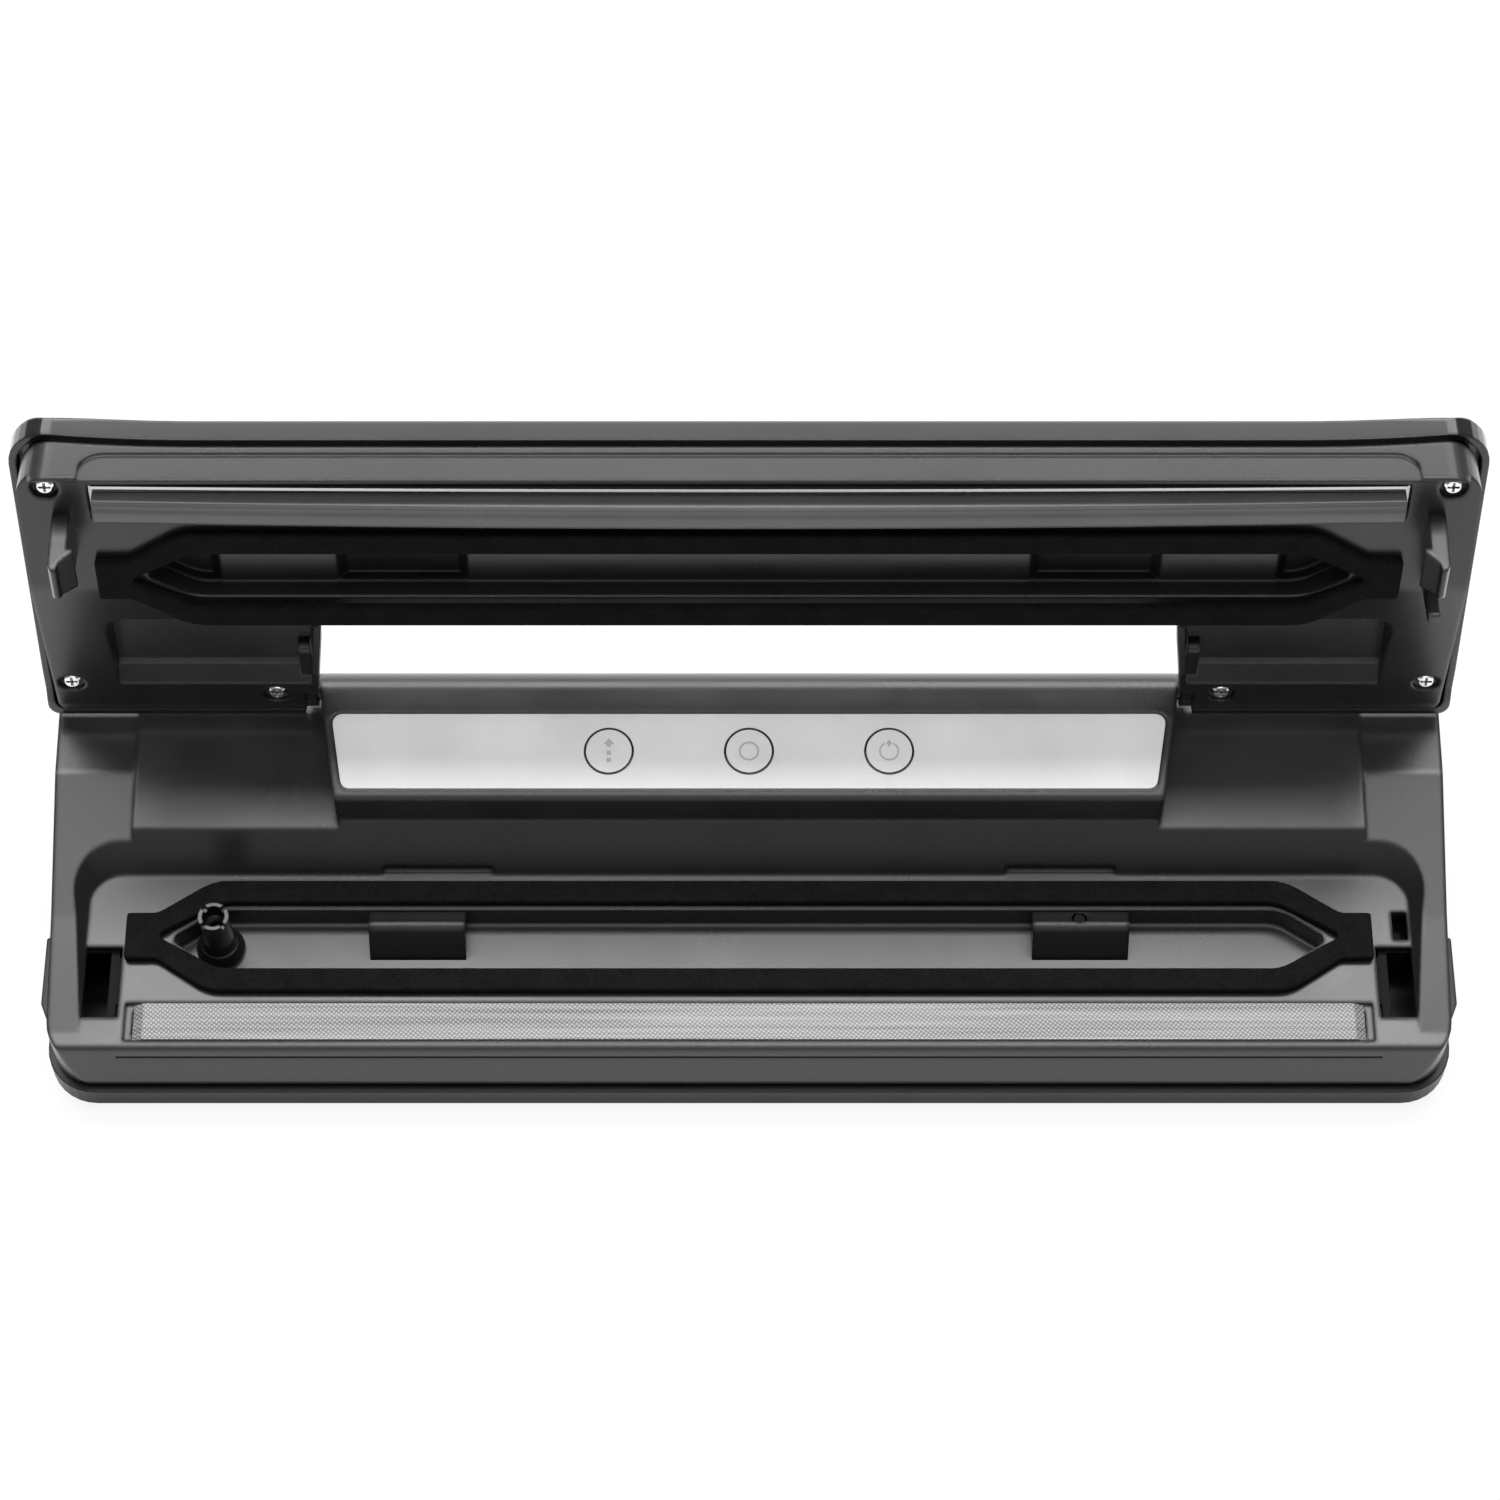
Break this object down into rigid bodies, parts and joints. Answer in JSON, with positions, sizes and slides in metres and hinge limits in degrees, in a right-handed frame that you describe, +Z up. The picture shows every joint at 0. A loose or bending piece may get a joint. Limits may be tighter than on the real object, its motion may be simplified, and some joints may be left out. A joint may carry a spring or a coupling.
{
  "type": "vacuum sealer",
  "caption": "Wide low base with a control hump, foam-lined drip channel and heated sealing strip, under a hinged lid with a sealing bar and side latches.",
  "frame": {"origin": "centre of the bounding box's footprint, on the plane the feet stand on", "axes": "+X to the right as seen from the user's side, +Y to the back of the appliance, +Z up"},
  "size_m": [0.3846, 0.1278, 0.1542],
  "materials": {
    "charcoal_plastic": "satin, fine grained",
    "black_plastic": "satin",
    "lid_gloss": "polished",
    "silver_panel": "fine blasted",
    "silver_button": "satin",
    "foam": "closed-cell foam",
    "seal_tape": "woven, coated",
    "bar": "silicone, smooth",
    "bright_steel": "polished",
    "steel": "plain",
    "ceramic": "plain",
    "circuit_board": "plain",
    "copper_pack": "varnished",
    "pump_plastic": "plain",
    "hose": "smooth",
    "red_plastic": "plain",
    "foot_rubber": "matt"
  },
  "bodies": {
    "base": {"base_pan": "black_plastic", "base_housing": "charcoal_plastic", "feet": "foot_rubber", "pan_screws": "bright_steel", "power_inlet": "black_plastic", "panel_plate": "silver_panel", "panel_board": "circuit_board", "heater_bed": "ceramic", "heater_ribbon": "steel", "heater_tape": "seal_tape", "lower_gasket": "foam", "vacuum_port": "charcoal_plastic", "channel_baffles": "charcoal_plastic", "pressure_sensor": "steel", "vacuum_pump": "pump_plastic", "pump_motor": "steel", "suction_hose": "hose", "main_board": "circuit_board", "transformer": "copper_pack", "lid_switch": "black_plastic", "plunger_spring": "steel", "hinge_pins": "steel"},
    "lid": {"lid_shell": "lid_gloss", "lid_liner": "charcoal_plastic", "bar_carrier": "bright_steel", "pressure_bar": "bar", "upper_gasket": "foam", "latch_hooks": "charcoal_plastic", "switch_finger": "charcoal_plastic", "lid_screws": "bright_steel"},
    "pulse_button_body": {"pulse_button": "silver_button"},
    "seal_button_body": {"seal_button": "silver_button"},
    "vac_button_body": {"vac_button": "silver_button"},
    "latch_left": {"latch_slider_left": "black_plastic", "release_button_left": "black_plastic", "latch_spring_left": "steel"},
    "latch_right": {"latch_slider_right": "black_plastic", "release_button_right": "black_plastic", "latch_spring_right": "steel"},
    "plunger_body": {"switch_plunger": "red_plastic"}
  },
  "joints": [
    {"name": "lid_hinge", "type": "hinge", "parent": "base", "child": "lid", "pos_m": [0, 0.03805, 0.0512], "axis": [1, 0, 0], "range_deg": [0, 103.15]},
    {"name": "pulse_button_press", "type": "slide", "parent": "base", "child": "pulse_button_body", "axis": [0, 0.1495, -0.9888], "range_m": [0, 0.0006], "stiffness_N_per_m": 400, "springref_m": -0.0006},
    {"name": "seal_button_press", "type": "slide", "parent": "base", "child": "seal_button_body", "axis": [0, 0.1495, -0.9888], "range_m": [0, 0.0006], "stiffness_N_per_m": 400, "springref_m": -0.0006},
    {"name": "vac_button_press", "type": "slide", "parent": "base", "child": "vac_button_body", "axis": [0, 0.1495, -0.9888], "range_m": [0, 0.0006], "stiffness_N_per_m": 400, "springref_m": -0.0006},
    {"name": "release_left", "type": "slide", "parent": "base", "child": "latch_left", "axis": [1, 0, 0], "range_m": [0, 0.0025], "stiffness_N_per_m": 500, "springref_m": -0.002, "deforming": ["latch_spring_left"]},
    {"name": "release_right", "type": "slide", "parent": "base", "child": "latch_right", "axis": [-1, 0, 0], "range_m": [0, 0.0025], "stiffness_N_per_m": 500, "springref_m": -0.002, "deforming": ["latch_spring_right"]},
    {"name": "lid_switch_press", "type": "slide", "parent": "base", "child": "plunger_body", "axis": [0, 0, -1], "range_m": [0, 0.0008], "stiffness_N_per_m": 150, "springref_m": -0.0005, "deforming": ["plunger_spring"]}
  ]
}
